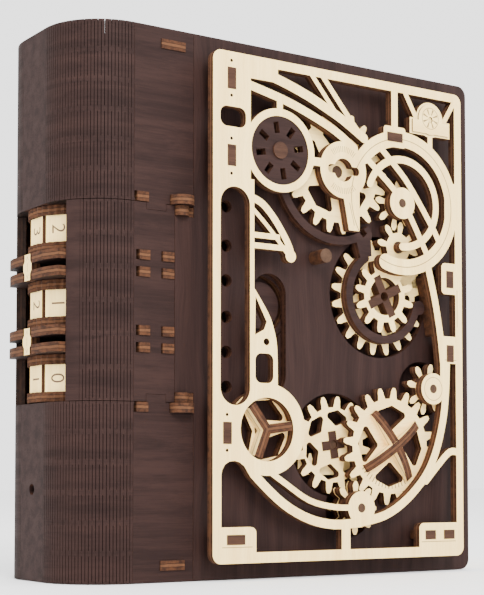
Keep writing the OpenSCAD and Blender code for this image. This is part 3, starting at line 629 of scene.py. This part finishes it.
def slotted_skin(node, low, high, corners, material, kerfs):
    """The flat parts come from the CAD node with its corners cut away; slotted corners take their place."""
    only(nodes[node])
    bpy.ops.object.duplicate()
    flat = bpy.context.object
    flat.parent = None
    for key in list(flat.keys()):
        del flat[key]
    flat.name = node + "_slotted"
    added = []
    for y, side in corners:
        y0, y1 = (y - SPINE_R - 0.5, y) if side < 0 else (y, y + SPINE_R + 0.5)
        cutter = block((CORNER_X - SPINE_R - 0.5, y0, low - 1), (CORNER_X, y1, high + 1))
        cut = flat.modifiers.new("corner", "BOOLEAN")
        cut.operation = "DIFFERENCE"
        cut.solver = "EXACT"
        cut.object = cutter
        apply_all(flat)
        bpy.data.objects.remove(cutter)
    for slot in flat.material_slots:
        slot.material = material
    for y, side in corners:
        if len(corners) == 2:
            added.append(slotted_corner(y, 180 if side < 0 else 90, 15, low, high))
        else:
            added.append(slotted_corner(y, 222 if side < 0 else 90, 8, low, high))
            edge = (208.7, 222) if side < 0 else (138, 151.3)
            added.append(plain_corner(y, edge[0], edge[1], low, high))
    for piece in added:
        piece.data.materials.clear()
        piece.data.materials.append(kerfs)
    skin = join([flat] + added)
    skin.name = node + "_slotted"
    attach(skin, "case")
    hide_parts(node)


def build_spine():
    flat = plate_finish("stained_spine", STAIN, STAIN_EDGE, Y, [FACE_Y, FACE_Y + BOOK_T - PLY], X,
                        side_face=SEAM_X - SPINE_W + PLY + 0.5)
    kerfs = kerf_finish()
    both = ((CORNER_Y[0], -1), (CORNER_Y[1], 1))
    slotted_skin("spine_wrap_top", PLATE_TOP[0], BOOK_H, both, flat, kerfs)
    slotted_skin("spine_wrap_bottom", 0, PLATE_TOP[1], both, flat, kerfs)
    slotted_skin("spine_panel_front", *PANEL_Z, both[:1], flat, kerfs)
    slotted_skin("spine_panel_back", *PANEL_Z, both[1:], flat, kerfs)


def build_numbers():
    """Burnt numbers 0 to 9 round each code ring, lying on their sides."""
    ink, tree, shader, mm, _ = new_finish("burnt_numbers")
    speck = noise(tree, mm, 3.0, 3.0)
    feed(tree, shader.inputs["Base Color"],
         blend_colour(tree, speck, (0.035, 0.018, 0.010, 1), (0.12, 0.06, 0.03, 1)))
    shader.inputs["Roughness"].default_value = 0.8
    for ring, mid in enumerate(RING_MID):
        digits = []
        for k in range(TILE_COUNT):
            angle = math.radians(360 / TILE_COUNT * k)
            out = Vector((math.cos(angle), math.sin(angle), 0))
            up = Vector((0, 0, 1)).cross(out)
            bpy.ops.object.text_add()
            digit = bpy.context.object
            digit.data.body = str((8 - ring - k) % TILE_COUNT)
            digit.data.size = 6.6 * MM
            digit.data.align_x = "CENTER"
            digit.data.align_y = "CENTER"
            digit.data.offset = -0.05 * MM
            digit.data.extrude = 0.012 * MM
            bpy.ops.object.convert(target="MESH")
            turn = Matrix((Vector((0, 0, -1)), up, out)).transposed().to_4x4()
            spot = Vector((*RING_AXIS, mid)) * MM + out * (TILE_A * MM)
            digits.append(place(bpy.context.object, Matrix.Translation(spot) @ turn))
        numbers = join(digits)
        numbers.name = f"ring_numbers_{ring + 1}"
        numbers.data.materials.clear()
        numbers.data.materials.append(ink)
        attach(numbers, f"code_ring_{ring + 1}")


# ---------------------------------------------------------------- stage, light and camera

def build_stage():
    bpy.ops.mesh.primitive_plane_add(size=8, location=(0, 0, -0.0002))
    floor = bpy.context.object
    floor.name = "studio_floor"
    mat = bpy.data.materials.new("pale_floor")
    mat.use_nodes = True
    shader = mat.node_tree.nodes["Principled BSDF"]
    shader.inputs["Base Color"].default_value = (0.93, 0.93, 0.93, 1)
    shader.inputs["Roughness"].default_value = 0.7
    floor.data.materials.append(mat)


def add_softbox(name, location, target, size, power):
    bpy.ops.object.light_add(type="AREA", location=location)
    lamp = bpy.context.object
    lamp.name = name
    lamp.data.shape = "RECTANGLE"
    lamp.data.size, lamp.data.size_y = size
    lamp.data.energy = power
    lamp.rotation_euler = (Vector(target) - Vector(location)).to_track_quat("-Z", "Y").to_euler()


def build_light():
    world = bpy.data.worlds.new("studio_air")
    bpy.context.scene.world = world
    world.use_nodes = True
    sky = world.node_tree.nodes["Background"]
    sky.inputs["Color"].default_value = (1, 1, 1, 1)
    sky.inputs["Strength"].default_value = 2.5
    add_softbox("key_softbox", (-0.25, -0.9, 0.75), (0, 0, 0.09), (0.6, 0.5), 20.0)
    add_softbox("left_softbox", (-0.95, -0.15, 0.35), (-0.05, 0, 0.09), (0.5, 0.6), 5.0)
    add_softbox("right_softbox", (0.85, -0.55, 0.4), (0, 0, 0.09), (0.5, 0.6), 5.0)


def build_camera():
    bpy.ops.object.camera_add(location=(-0.2687, -0.4046, 0.0306))
    camera = bpy.context.object
    camera.data.lens = 1450 / 595 * 36
    camera.data.sensor_width = 36
    camera.data.sensor_fit = "AUTO"
    camera.data.shift_y = 0.19
    camera.data.clip_start = 0.01
    pitch = math.radians(2.78)
    turn = math.radians(-33.5)
    camera.rotation_euler = (math.pi / 2 + pitch, 0, turn)
    bpy.context.scene.camera = camera


paint_case()
paint_rings()
paint_cover()
paint_gears()
build_spine()
build_numbers()
build_stage()
build_light()
build_camera()
